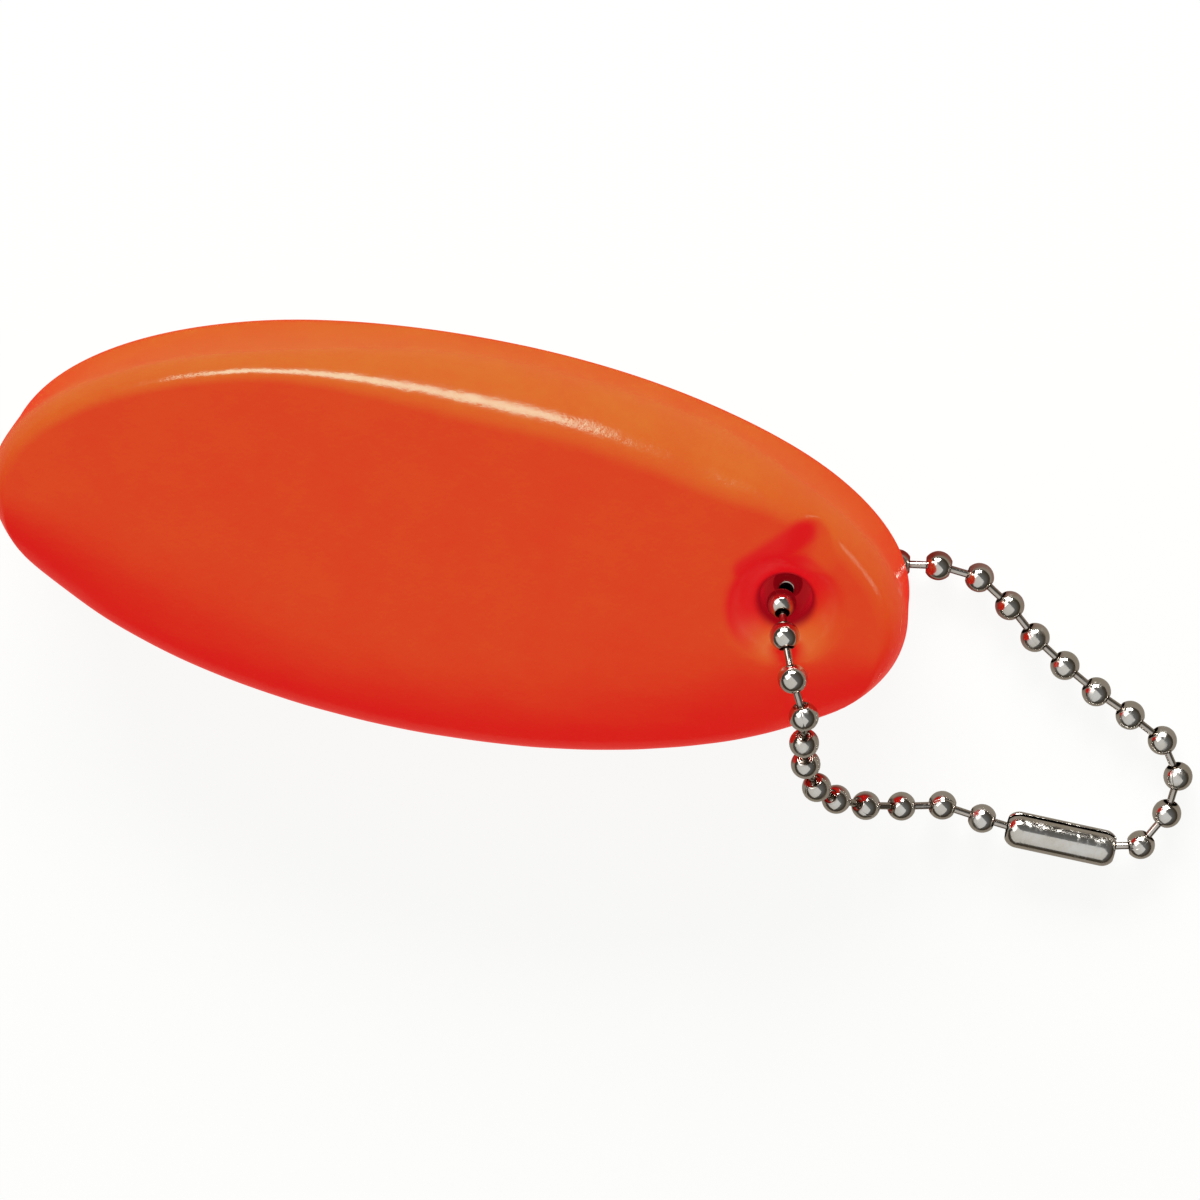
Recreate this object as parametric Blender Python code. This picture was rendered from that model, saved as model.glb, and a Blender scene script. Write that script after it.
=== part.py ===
"""Floating keychain: an oval foam float with a loop of ball chain through its hole.

Metres, +Z up. The origin is the middle of the float's flat underside. +X runs along the float to
the end with the hole, and +Z leaves its upper face. The float and the free part of the chain lie
on the plane z = 0.
"""

import math

import bmesh
import bpy
import numpy as np
from mathutils import Matrix, Quaternion, Vector

# Float
LENGTH = 0.0730
WIDTH = 0.0315
THICKNESS = 0.0135
EDGE_RADIUS = 0.0040
EDGE_STEPS = 6
OUTLINE_POINTS = 72

# Hole through the float, with a wide dished crater at its upper mouth and a small one below
HOLE_FROM_END = 0.0098
HOLE_ASIDE = 0.0014
HOLE_DIAMETER = 0.0041
CRATER_DIAMETER = 0.0112
CRATER_DEPTH = 0.0032
LOWER_CRATER_DIAMETER = 0.0064
LOWER_CRATER_DEPTH = 0.0007
CRATER_LIP = 0.0002
CRATER_STEPS = 5
HOLE_SIDES = 32

# Groove that the chain has pressed from the upper crater to the float's edge
GROOVE_RADIUS = 0.0021
GROOVE_DEPTH = 0.0012
GROOVE_SWING = math.radians(78)

# Channel under the float, in which the chain lies from the hole to the end
CHANNEL_SWING = math.radians(7)
CHANNEL_ARC_STEPS = 8

# Ball chain: beads of hollow sheet, each with a pin whose head is caught in the next bead
BEAD_DIAMETER = 0.0024
BEAD_WALL = 0.00022
BEAD_HOLE_DIAMETER = 0.00120
PIN_DIAMETER = 0.00070
PIN_HEAD_DIAMETER = 0.00142
LINK_PITCH = 0.00345
HANGING_LINKS = 11
HANGING_PULL = 0.00006
HIDDEN_LINKS = 7
HIDDEN_SLACK = 0.00014
BEAD_SIDES = 10
BEAD_BANDS = 6

# Connector sleeve that snaps over the two end beads
CONNECTOR_LENGTH = 0.0094
CONNECTOR_DIAMETER = 0.0030
CONNECTOR_WALL = 0.00018
CONNECTOR_END_HOLE = 0.00180
CONNECTOR_END_ROUNDING = 0.0012
CONNECTOR_SLOT = 0.00085
CONNECTOR_END_STEPS = 4
CONNECTOR_SIDES = 24
CONNECTOR_TURN = math.radians(-2)
CONNECTOR_ENTRY_TURN = math.radians(5)
CONNECTOR_EXIT_TURN = math.radians(17)
CONNECTOR_SLOT_TURN = math.radians(-84)
CONNECTOR_PAST_END = 0.0161
CONNECTOR_ASIDE = 0.0186

# Clearances
CLEARANCE = 0.0003
END_BEAD_PLAY = 0.00015
CUT_MARGIN = 0.0010

HOLE = Vector((LENGTH / 2 - HOLE_FROM_END, HOLE_ASIDE, 0))
BEAD = BEAD_DIAMETER / 2
ON_FACE = THICKNESS + CLEARANCE + BEAD
CONNECTOR_CENTRE = Vector((LENGTH / 2 + CONNECTOR_PAST_END, -CONNECTOR_ASIDE, CONNECTOR_DIAMETER / 2))
CONNECTOR_AXIS = Vector((math.cos(CONNECTOR_TURN), math.sin(CONNECTOR_TURN), 0))


def clear_scene():
    for obj in list(bpy.data.objects):
        bpy.data.objects.remove(obj, do_unlink=True)


def material(name, colour, roughness, metallic):
    made = bpy.data.materials.new(name)
    made.use_nodes = True
    surface = made.node_tree.nodes["Principled BSDF"]
    surface.inputs["Base Color"].default_value = (*colour, 1)
    surface.inputs["Roughness"].default_value = roughness
    surface.inputs["Metallic"].default_value = metallic
    return made


def add_object(name, mesh, finish=None):
    obj = bpy.data.objects.new(name, mesh)
    bpy.context.scene.collection.objects.link(obj)
    if finish:
        mesh.materials.append(finish)
    return obj


def mesh_from(shape, name):
    """The mesh of a bmesh, with its normals outwards and its faces smooth but for sharp edges."""
    bmesh.ops.recalc_face_normals(shape, faces=shape.faces)
    mesh = bpy.data.meshes.new(name)
    shape.to_mesh(mesh)
    shape.free()
    mesh.shade_smooth()
    mesh.set_sharp_from_angle(angle=math.radians(40))
    return mesh


def turned(profile, sides, closed=False):
    """A bmesh turned about Z from (radius, z) points, which join end to start if closed."""
    shape = bmesh.new()
    points = [shape.verts.new((radius, 0, z)) for radius, z in profile]
    edges = [shape.edges.new(pair) for pair in zip(points, points[1:])]
    if closed:
        edges.append(shape.edges.new((points[-1], points[0])))
    bmesh.ops.spin(
        shape,
        geom=points + edges,
        cent=(0, 0, 0),
        axis=(0, 0, 1),
        angle=math.tau,
        steps=sides,
        use_merge=True,
    )
    bmesh.ops.remove_doubles(shape, verts=shape.verts, dist=1e-7)
    return shape


def cut(obj, cutter):
    cutter.hide_render = True
    cutter.display_type = "WIRE"
    modifier = obj.modifiers.new(f"cut {cutter.name}", "BOOLEAN")
    modifier.operation = "DIFFERENCE"
    modifier.object = cutter


def half_width_at(x):
    """Half the float's width, from its oval outline."""
    return WIDTH / 2 * math.sqrt(max(0, 1 - (2 * x / LENGTH) ** 2))


def crater(diameter, deepest):
    """(radius, depth) points from bore to rim: the depth falls off as the square of the way out."""
    bore, rim = HOLE_DIAMETER / 2, diameter / 2
    dish = []
    for share in np.linspace(0, 1, CRATER_STEPS + 1):
        depth = (deepest + CRATER_LIP) * (1 - share) ** 2 - CRATER_LIP
        dish.append((bore + (rim - bore) * float(share), float(depth)))
    return dish


def hole_cutter():
    upper = [(radius, THICKNESS - depth) for radius, depth in crater(CRATER_DIAMETER, CRATER_DEPTH)]
    lower = crater(LOWER_CRATER_DIAMETER, LOWER_CRATER_DEPTH)[::-1]
    below, above = -CUT_MARGIN, THICKNESS + CUT_MARGIN
    profile = [(0, below), (lower[0][0], below), *lower, *upper, (upper[-1][0], above), (0, above)]
    shape = turned(profile, HOLE_SIDES)
    cutter = add_object("hole cutter", mesh_from(shape, "hole cutter"))
    cutter.location = HOLE
    return cutter


def groove_cutter():
    """A lying cylinder, whose lowest line is the bottom of the groove in the upper face."""
    reach = WIDTH
    shape = bmesh.new()
    bmesh.ops.create_cone(
        shape,
        cap_ends=True,
        segments=HOLE_SIDES,
        radius1=GROOVE_RADIUS,
        radius2=GROOVE_RADIUS,
        depth=reach,
        matrix=Matrix.Translation((reach / 2, 0, 0)) @ Matrix.Rotation(math.pi / 2, 4, "Y"),
    )
    cutter = add_object("groove cutter", mesh_from(shape, "groove cutter"))
    cutter.location = HOLE + Vector((0, 0, THICKNESS + GROOVE_RADIUS - GROOVE_DEPTH))
    cutter.rotation_euler = (0, 0, GROOVE_SWING)
    return cutter


def channel_cutter():
    """An arch over the lying chain, swept straight from the hole past the float's end."""
    half = BEAD + CLEARANCE
    arc = [
        (half * math.cos(angle), BEAD + half * math.sin(angle))
        for angle in np.linspace(0, math.pi, CHANNEL_ARC_STEPS + 1)
    ]
    section = [(half, -CUT_MARGIN), *arc, (-half, -CUT_MARGIN)]
    shape = bmesh.new()
    face = shape.faces.new([shape.verts.new((0, y, z)) for y, z in section])
    swept = bmesh.ops.extrude_face_region(shape, geom=[face])
    ends = [part for part in swept["geom"] if isinstance(part, bmesh.types.BMVert)]
    bmesh.ops.translate(shape, verts=ends, vec=(2 * HOLE_FROM_END, 0, 0))
    cutter = add_object("channel cutter", mesh_from(shape, "channel cutter"))
    cutter.location = HOLE
    cutter.rotation_euler = (0, 0, CHANNEL_SWING)
    return cutter


def build_float(finish):
    shape = bmesh.new()
    outline = []
    for angle in np.linspace(0, math.tau, OUTLINE_POINTS, endpoint=False):
        outline.append(shape.verts.new((LENGTH / 2 * math.cos(angle), WIDTH / 2 * math.sin(angle), 0)))
    raised = bmesh.ops.extrude_face_region(shape, geom=[shape.faces.new(outline)])
    top = [part for part in raised["geom"] if isinstance(part, bmesh.types.BMVert)]
    bmesh.ops.translate(shape, verts=top, vec=(0, 0, THICKNESS))
    body = add_object("float", mesh_from(shape, "float"), finish)
    edge = body.modifiers.new("rounded edges", "BEVEL")
    edge.width = EDGE_RADIUS
    edge.segments = EDGE_STEPS
    edge.limit_method = "ANGLE"
    edge.angle_limit = math.radians(60)
    for cutter in (hole_cutter(), groove_cutter(), channel_cutter()):
        cut(body, cutter)
    return body


def chain_route():
    """Points that the chain passes, from one end bead to the other, chosen along its lie."""
    end = LENGTH / 2
    seat = CONNECTOR_AXIS * (CONNECTOR_LENGTH / 2 - CONNECTOR_WALL - END_BEAD_PLAY - BEAD)
    lie = Vector((math.cos(CHANNEL_SWING), math.sin(CHANNEL_SWING), 0))
    first, last = CONNECTOR_CENTRE - seat, CONNECTOR_CENTRE + seat
    before = first - Matrix.Rotation(-CONNECTOR_ENTRY_TURN, 3, "Z") @ CONNECTOR_AXIS * LINK_PITCH
    after = last + Matrix.Rotation(CONNECTOR_EXIT_TURN, 3, "Z") @ CONNECTOR_AXIS * LINK_PITCH
    rim_x = HOLE.x + 0.0030
    rim_y = -half_width_at(rim_x)
    return [
        first,
        before,
        (end + 0.0060, rim_y - 0.0083, 0.0017),
        (end + 0.0025, rim_y - 0.0086, 0.0028),
        (rim_x + 0.0062, rim_y - 0.0082, THICKNESS - 0.0087),
        (rim_x + 0.0038, rim_y - 0.0071, THICKNESS - 0.0066),
        (rim_x + 0.0021, rim_y - 0.0053, THICKNESS - 0.0043),
        (rim_x + 0.0009, rim_y - 0.0027, THICKNESS - 0.0025),
        (rim_x + 0.0004, rim_y + 0.0001, THICKNESS - 0.0003),
        (rim_x - 0.0002, rim_y + 0.0034, ON_FACE),
        (HOLE.x + 0.0014, HOLE.y - 0.0043, ON_FACE + 0.0001),
        (HOLE.x + 0.0004, HOLE.y - 0.0021, THICKNESS - 0.0003),
        (HOLE.x - 0.0003, HOLE.y - 0.0004, THICKNESS - 0.0036),
        (HOLE.x, HOLE.y, THICKNESS / 2),
        HOLE - lie * 0.0003 + Vector((0, 0, 0.0042)),
        HOLE + lie * 0.0015 + Vector((0, 0, 0.0015)),
        HOLE + lie * 0.0048 + Vector((0, 0, BEAD)),
        HOLE + lie * HOLE_FROM_END + Vector((0, 0, BEAD)),
        (end + 0.0021, 0.0029, BEAD),
        (end + 0.0053, 0.0025, BEAD),
        (end + 0.0080, 0.0007, BEAD),
        (end + 0.0105, -0.0016, BEAD),
        (end + 0.0134, -0.0036, BEAD),
        (end + 0.0164, -0.0054, BEAD),
        (end + 0.0195, -0.0069, BEAD),
        (end + 0.0225, -0.0086, BEAD),
        (end + 0.0243, -0.0113, BEAD),
        (end + 0.0242, -0.0145, BEAD),
        after,
        last,
    ]


def smooth_path(route, steps=24):
    """A dense line on the centripetal Catmull-Rom curve through the route's points."""
    points = np.array([tuple(point) for point in route], float)
    points = np.vstack([2 * points[0] - points[1], points, 2 * points[-1] - points[-2]])
    line = []
    for before, start, stop, after in zip(points, points[1:], points[2:], points[3:]):
        knots = np.cumsum([0] + [math.sqrt(np.linalg.norm(b - a)) for a, b in
                                 ((before, start), (start, stop), (stop, after))])
        for t in np.linspace(knots[1], knots[2], steps, endpoint=False):
            first = [
                (p * (knots[i + 1] - t) + q * (t - knots[i])) / (knots[i + 1] - knots[i])
                for i, (p, q) in enumerate(((before, start), (start, stop), (stop, after)))
            ]
            second = [
                (p * (knots[i + 2] - t) + q * (t - knots[i])) / (knots[i + 2] - knots[i])
                for i, (p, q) in enumerate(zip(first, first[1:]))
            ]
            line.append((second[0] * (knots[2] - t) + second[1] * (t - knots[1])) / (knots[2] - knots[1]))
    line = np.array([*line, points[-2]])
    line[:, 2] = np.maximum(line[:, 2], BEAD)
    return line


def step_from(number, pitch):
    """How far a bead lies from the next: the pin heads pull out where the chain hangs, and slide in
    where it is slack inside the hole and under the float."""
    if number < HANGING_LINKS:
        return pitch + HANGING_PULL
    if number < HANGING_LINKS + HIDDEN_LINKS:
        return pitch - HIDDEN_SLACK
    return pitch


def walk(line, pitch):
    """Points on the line, each a step from the one before."""
    here, place, found = line[0], 0, [line[0]]
    while True:
        step = step_from(len(found) - 1, pitch)
        away = np.linalg.norm(line[place + 1:] - here, axis=1)
        beyond = np.nonzero(away >= step)[0]
        if not len(beyond):
            return found
        far = place + 1 + int(beyond[0])
        a, b = line[far - 1], line[far]
        low, high = 0.0, 1.0
        for _ in range(30):
            middle = (low + high) / 2
            if np.linalg.norm(a + (b - a) * middle - here) < step:
                low = middle
            else:
                high = middle
        here, place = a + (b - a) * high, far - 1
        found.append(here)


def bead_centres():
    """Bead centres, and the pitch with which a whole number of links closes the loop."""
    line = smooth_path(chain_route())
    links = len(walk(line, LINK_PITCH)) - 1
    short, long = LINK_PITCH * 0.9, LINK_PITCH * 1.1
    for _ in range(40):
        pitch = (short + long) / 2
        if len(walk(line, pitch)) - 1 >= links + 1:
            short = pitch
        else:
            long = pitch
    centres = walk(line, short)[:links + 2]
    return [Vector(tuple(float(part) for part in centre)) for centre in centres], short


def arc(radius, start, stop, steps, z=0.0):
    """(radius, z) points on a circle about the axis, by the angle from +Z."""
    return [
        (radius * math.sin(angle), z + radius * math.cos(angle))
        for angle in np.linspace(start, stop, steps + 1)
    ]


def link_profile(pitch):
    """Pin head, pin, outer bead wall, pin hole and inner bead wall, as one line from axis to axis."""
    inner, pin = BEAD - BEAD_WALL, PIN_DIAMETER / 2
    head = PIN_HEAD_DIAMETER / 2
    hole = math.pi - math.asin(BEAD_HOLE_DIAMETER / 2 / BEAD)
    inner_hole = math.pi - math.asin(BEAD_HOLE_DIAMETER / 2 / inner)
    head_line = arc(head, 0, math.pi - math.asin(pin / head), 3, pitch)
    outer = arc(BEAD, math.asin(pin / BEAD), hole, BEAD_BANDS)
    inside = arc(inner, inner_hole, 0, BEAD_BANDS // 2)
    line = head_line + outer + inside
    line[0], line[-1] = (0, line[0][1]), (0, line[-1][1])
    return line


def end_bead_profile():
    """The bead at the free end has a pin hole on both sides and no pin of its own."""
    inner = BEAD - BEAD_WALL
    hole = math.asin(BEAD_HOLE_DIAMETER / 2 / BEAD)
    inner_hole = math.asin(BEAD_HOLE_DIAMETER / 2 / inner)
    outside = arc(BEAD, hole, math.pi - hole, BEAD_BANDS)
    return outside + arc(inner, math.pi - inner_hole, inner_hole, BEAD_BANDS // 2)


def bent(shape, bend):
    """Turns the hole's side of a link by the bend, about the bead's centre, and leaves its pin's side."""
    for vert in shape.verts:
        if vert.co.length > BEAD * 1.05:
            continue
        polar = vert.co.angle(Vector((0, 0, 1)), 0)
        share = (polar / math.pi) ** 2 * (3 - 2 * polar / math.pi)
        vert.co = Quaternion().slerp(bend, share) @ vert.co
    return shape


def build_chain(finish):
    centres, pitch = bead_centres()
    axes = [(there - here).normalized() for here, there in zip(centres, centres[1:])]
    for number, (centre, axis) in enumerate(zip(centres, axes), 1):
        came = axes[max(number - 2, 0)]
        place = Vector((0, 0, 1)).rotation_difference(axis)
        local = place.inverted() @ came
        bend = Vector((0, 0, 1)).rotation_difference(local)
        shape = bent(turned(link_profile(pitch), BEAD_SIDES), bend)
        name = f"chain_link_{number:02d}"
        link = add_object(name, mesh_from(shape, name), finish)
        link.rotation_mode = "QUATERNION"
        link.rotation_quaternion = place
        link.location = centre
    name = "chain_end_bead"
    shape = turned(end_bead_profile(), BEAD_SIDES, closed=True)
    end = add_object(name, mesh_from(shape, name), finish)
    end.rotation_mode = "QUATERNION"
    end.rotation_quaternion = Vector((0, 0, 1)).rotation_difference(axes[-1])
    end.location = centres[-1]


def connector_half(wall):
    """Half a sleeve's outline, moved in by the wall: a rounded end that the end hole cuts open."""
    radius = CONNECTOR_DIAMETER / 2 - wall
    rounding = CONNECTOR_END_ROUNDING - wall
    middle = CONNECTOR_DIAMETER / 2 - CONNECTOR_END_ROUNDING
    opened = math.acos(max(0, CONNECTOR_END_HOLE / 2 - middle) / rounding)
    level = CONNECTOR_LENGTH / 2 - CONNECTOR_END_ROUNDING
    return [
        (middle + rounding * math.cos(angle), level + rounding * math.sin(angle))
        for angle in np.linspace(0, opened, CONNECTOR_END_STEPS + 1)
    ]


def build_connector(finish):
    upper = connector_half(0) + connector_half(CONNECTOR_WALL)[::-1]
    lower = [(radius, -z) for radius, z in reversed(upper)]
    shape = turned(upper + lower, CONNECTOR_SIDES, closed=True)
    sleeve = add_object("connector", mesh_from(shape, "connector"), finish)
    place = Matrix.Rotation(CONNECTOR_TURN, 4, "Z") @ Matrix.Rotation(math.pi / 2, 4, "Y")
    sleeve.matrix_world = Matrix.Translation(CONNECTOR_CENTRE) @ place
    reach = CONNECTOR_LENGTH + 2 * CUT_MARGIN
    shape = bmesh.new()
    bmesh.ops.create_cube(shape, size=1, matrix=Matrix.Translation((0.5, 0, 0)))
    bmesh.ops.scale(shape, verts=shape.verts, vec=(CONNECTOR_DIAMETER, CONNECTOR_SLOT, reach))
    slot = add_object("slot cutter", mesh_from(shape, "slot cutter"))
    up = Matrix.Rotation(math.pi + CONNECTOR_SLOT_TURN, 4, "Z")
    slot.matrix_world = sleeve.matrix_world @ up
    cut(sleeve, slot)
    return sleeve


def main():
    clear_scene()
    vinyl = material("float vinyl", (0.74, 0.075, 0.018), 0.28, 0.0)
    nickel = material("nickel plate", (0.66, 0.65, 0.62), 0.2, 1.0)
    build_float(vinyl)
    build_chain(nickel)
    build_connector(nickel)


main()
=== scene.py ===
"""Looks of the floating keychain: a dipped foam float with a loop of ball chain and its connector.

Metres, in the frame of the solids: the origin is the middle of the float's flat underside, +X runs
along the float to the end with the hole, and +Z leaves its upper face.
"""

import math

import bpy
import numpy as np
from mathutils import Matrix, Vector


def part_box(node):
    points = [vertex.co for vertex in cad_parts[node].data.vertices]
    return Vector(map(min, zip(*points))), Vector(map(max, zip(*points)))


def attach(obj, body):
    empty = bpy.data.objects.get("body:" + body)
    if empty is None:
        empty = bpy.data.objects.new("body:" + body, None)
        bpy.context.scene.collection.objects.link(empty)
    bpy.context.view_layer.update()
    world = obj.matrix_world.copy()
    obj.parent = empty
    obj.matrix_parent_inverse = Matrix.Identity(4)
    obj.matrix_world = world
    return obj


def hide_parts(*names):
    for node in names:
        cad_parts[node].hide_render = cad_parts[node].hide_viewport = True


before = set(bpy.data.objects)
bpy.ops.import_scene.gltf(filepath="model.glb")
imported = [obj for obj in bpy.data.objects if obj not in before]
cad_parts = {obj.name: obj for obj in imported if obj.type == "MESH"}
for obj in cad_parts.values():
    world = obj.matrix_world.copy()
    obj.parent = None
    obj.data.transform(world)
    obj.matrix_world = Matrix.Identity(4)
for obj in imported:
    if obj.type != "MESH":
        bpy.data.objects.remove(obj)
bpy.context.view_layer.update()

# The photograph's camera
PICTURE = 1200
SENSOR = 36.0
FOCAL_PIXELS = 4000
DISTANCE = 0.3175
LEAN = math.radians(21.69)
SWING = math.radians(18.48)
ROLL = math.radians(-8.23)
FLOAT_CENTRE_PIXEL = (453.7, 537.8)

# Float, whose size comes from the solids
FLOAT_LOW, FLOAT_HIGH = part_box("float")
LENGTH = FLOAT_HIGH.x - FLOAT_LOW.x
WIDTH = FLOAT_HIGH.y - FLOAT_LOW.y
THICKNESS = FLOAT_HIGH.z
HOLE_FROM_END = 0.0098
HOLE_ASIDE = 0.0014
HOLE = Vector((LENGTH / 2 - HOLE_FROM_END, HOLE_ASIDE, 0))
BORE = 0.00205
CHANNEL_SWING = math.radians(7)

# Rounded edges, of which the upper one changes its size round the float
EDGE_HEIGHT = 0.0066
EDGE_REACH = 0.0040
EDGE_FULLNESS = 8.0
EDGE_TIGHTER_AT_TAIL = 0.55
TAIL_EASE_START = 0.003
TAIL_EASE_LENGTH = 0.022
EDGE_TIGHTER_AT_HOLE = 0.40
HOLE_EASE_START = 0.018
HOLE_EASE_LENGTH = 0.012
FAR_EDGE_SHARE = 0.60
FAR_EDGE_EASE = 1.2
LOWER_EDGE_HEIGHT = 0.0040

# Gentle fall of the upper face on the -Y side
FAR_HEIGHT = 0.0040
FAR_REACH = 0.0110
FAR_POWER = 2.5
FAR_EASE = 1.6
FAR_END_SHARE = 0.6
FAR_END_LEAST = 0.2

# Craters at both ends of the hole, and the groove that leaves the upper one
CRATER_RIM = 0.0056
CRATER_DEPTH = 0.0032
LOWER_CRATER_RIM = 0.0032
LOWER_CRATER_DEPTH = 0.0007
CRATER_LIP = 0.00006
GROOVE_HALF_WIDTH = 0.0026
GROOVE_DEPTH = 0.0012
GROOVE_SWING = math.radians(78)

# Painted shade, where the skin is made redder: deep in the crater and down the hole, and on the crater's
# sides and along the groove
HOLE_SHADE_START = 0.0022
HOLE_SHADE_SPAN = 0.0010
SHADE_BAND_FROM = (-0.0034, 0.0028)
SHADE_BAND_TO = (0.0002, 0.0064)
SHADE_BAND_WIDTH = 0.0011
SHADE_BAND_SOFT = 0.0008
SHADE_SIDE = (-0.8, 0.6)
SHADE_SIDE_EASE = 0.8
SHADE_LEAST_PIT = 0.0004

# Dipped skin of the float: its swells and its soft creases
SKIN_WAVE = 0.00004
SWELL_LENGTHS = (0.0131, 0.0083, 0.0059, 0.0047, 0.0036)
SWELL_TURN = 2.4
SWELL_FIRST_TURN = 0.5
SWELL_PHASE = 1.7
SWELL_RISE = 0.7
SOFT_PRESS = 0.00025
SOFT_PRESS_BELOW = SOFT_PRESS / 8

# Grid of the float
FLOAT_COLUMNS = 384
CROWDING = 0.4
PAST_RIM = 0.0006
MOST_OF_WAY = 0.92
CRATER_RINGS = 26
CRATER_CROWDING = 1.25
FACE_RINGS = 60
FACE_CROWDING = 1.3
EDGE_RINGS = 26
WALL_RINGS = 6
BORE_RINGS = 20

# Chain, with radii for beads, holes and pins; the skin keeps a smooth bead within its solid
BEAD = 0.0012
BEAD_SKIN = 0.00118
BEAD_INSIDE = 0.00090
BEAD_HOLE = 0.00060
LIP = 0.00063
PIN = 0.00030
PIN_HEAD = 0.00071
LINK_PITCH = 0.00345
HANGING_LINKS = 11
HANGING_PULL = 0.00006
HIDDEN_LINKS = 7
HIDDEN_SLACK = 0.00014
LINK_SPIN = math.radians(137.5)

# Profiles of a bead's pin side and of its hole's lip, as radius and height from its middle
PIN_ROOT = 0.00088
PIN_RING = (
    (0.00040, 0.00084),
    (0.00048, 0.00083),
    (0.00054, 0.00087),
    (0.00057, 0.00094),
    (0.00059, 0.00100),
)
HOLE_LIP = ((0.00059, 0.00100), (0.00057, 0.00094), (0.00058, 0.00080))

# Grid of a bead, and its seam
BEAD_SIDES = 44
OUTSIDE_STEPS = 26
INSIDE_STEPS = 10
HEAD_STEPS = 9
SHANK_RINGS = 5
SEAM_WIDTH = 0.00006
SEAM_DEPTH = 0.00003
SEAM_TURNS = (0, 0.025, 0.05, 0.09)
SEAM_CLEAR = 0.15
BEYOND_BEAD = 1.05 * BEAD

# Painted shade on the nickel: in the ring round a pin, on the pin, beside the ring and inside the sleeve
RING_REACH = 0.00062
SHADE_REACH = 0.00078
RING_SHADE = 0.85
PIN_SHADE = 0.4
NEAR_SHADE = 0.5
SLEEVE_SHADE = 0.7

# Connector, as in the solids but for its slot, which is narrower
CONNECTOR_LENGTH = 0.0094
CONNECTOR_RADIUS = 0.0015
CONNECTOR_WALL = 0.00018
CONNECTOR_END_HOLE = 0.00090
CONNECTOR_END_ROUNDING = 0.0012
CONNECTOR_SLOT = 0.00036
CONNECTOR_TURN = math.radians(-2)
CONNECTOR_ENTRY_TURN = math.radians(5)
CONNECTOR_EXIT_TURN = math.radians(17)
CONNECTOR_SLOT_TURN = math.radians(-84)
CONNECTOR_CENTRE = Vector((LENGTH / 2 + 0.0161, -0.0186, CONNECTOR_RADIUS))
CONNECTOR_AXIS = Vector((math.cos(CONNECTOR_TURN), math.sin(CONNECTOR_TURN), 0))
CLEARANCE = 0.0003
END_BEAD_PLAY = 0.00015


def add_camera():
    """The camera leans from the face's normal, and turns so that the float's centre meets its pixel."""
    back = Vector((math.sin(LEAN) * math.sin(SWING), math.sin(LEAN) * math.cos(SWING), math.cos(LEAN)))
    right = Vector((0, 1, 0)).cross(back).normalized()
    basis = Matrix((right, back.cross(right), back)).transposed()
    basis = Matrix.Rotation(-ROLL, 3, "Z") @ basis
    away = basis.col[2].copy()
    seen = Vector((
        FLOAT_CENTRE_PIXEL[0] - PICTURE / 2,
        PICTURE / 2 - FLOAT_CENTRE_PIXEL[1],
        -FOCAL_PIXELS,
    ))
    turn = seen.rotation_difference(Vector((0, 0, -1))).to_matrix()
    data = bpy.data.cameras.new("camera")
    data.sensor_width = SENSOR
    data.lens = SENSOR * FOCAL_PIXELS / PICTURE
    data.clip_start = 0.01
    camera = bpy.data.objects.new("camera", data)
    bpy.context.scene.collection.objects.link(camera)
    place = Matrix.Translation(Vector((0, 0, THICKNESS / 2)) + away * DISTANCE)
    camera.matrix_world = place @ (basis @ turn).to_4x4()
    bpy.context.scene.camera = camera


def new_group(name, inputs, outputs):
    """An empty shader group with named inputs, given as (name, kind, value), and named outputs."""
    made = bpy.data.node_groups.new(name, "ShaderNodeTree")
    for label, kind, value in inputs:
        socket = made.interface.new_socket(name=label, in_out="INPUT", socket_type=kind)
        if value is not None:
            socket.default_value = value
    for label, kind in outputs:
        made.interface.new_socket(name=label, in_out="OUTPUT", socket_type=kind)
    return made, made.nodes.new("NodeGroupInput"), made.nodes.new("NodeGroupOutput")


def add_node(tree, kind, settings=None, **inputs):
    """A node with its settings, and each input set to a value or linked to a socket."""
    node = tree.nodes.new(kind)
    for key, value in (settings or {}).items():
        setattr(node, key, value)
    for key, value in inputs.items():
        socket = node.inputs[int(key[1:])] if key[1:].isdigit() else node.inputs[key.replace("_", " ")]
        if isinstance(value, bpy.types.NodeSocket):
            tree.links.new(value, socket)
        else:
            socket.default_value = value
    return node


def spread(tree, value, low, high):
    """Maps a value from low..high to 0..1, held between them."""
    return add_node(
        tree, "ShaderNodeMapRange", {"clamp": True},
        Value=value, From_Min=low, From_Max=high, To_Min=0.0, To_Max=1.0,
    ).outputs["Result"]


FINE_OCTAVE = 5.3
SPECK_RIM = 0.16
SPECK_CORE = 0.05


def mottle_group():
    """Soft patches: two octaves of noise, of which the wide one counts for two thirds."""
    tree, given, out = new_group(
        "soft mottle",
        [("Vector", "NodeSocketVector", None), ("Scale", "NodeSocketFloat", 100.0)],
        [("Mask", "NodeSocketFloat")],
    )
    where, scale = given.outputs["Vector"], given.outputs["Scale"]
    wide = add_node(tree, "ShaderNodeTexNoise", Vector=where, Scale=scale, Detail=2.0, Roughness=0.5)
    closer = add_node(tree, "ShaderNodeMath", {"operation": "MULTIPLY"}, _0=scale, _1=FINE_OCTAVE)
    finer = closer.outputs[0]
    fine = add_node(tree, "ShaderNodeTexNoise", Vector=where, Scale=finer, Detail=3.0, Roughness=0.6)
    both = add_node(tree, "ShaderNodeMix", Factor=0.33, A=wide.outputs["Fac"], B=fine.outputs["Fac"])
    tree.links.new(both.outputs["Result"], out.inputs["Mask"])
    return tree


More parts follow.
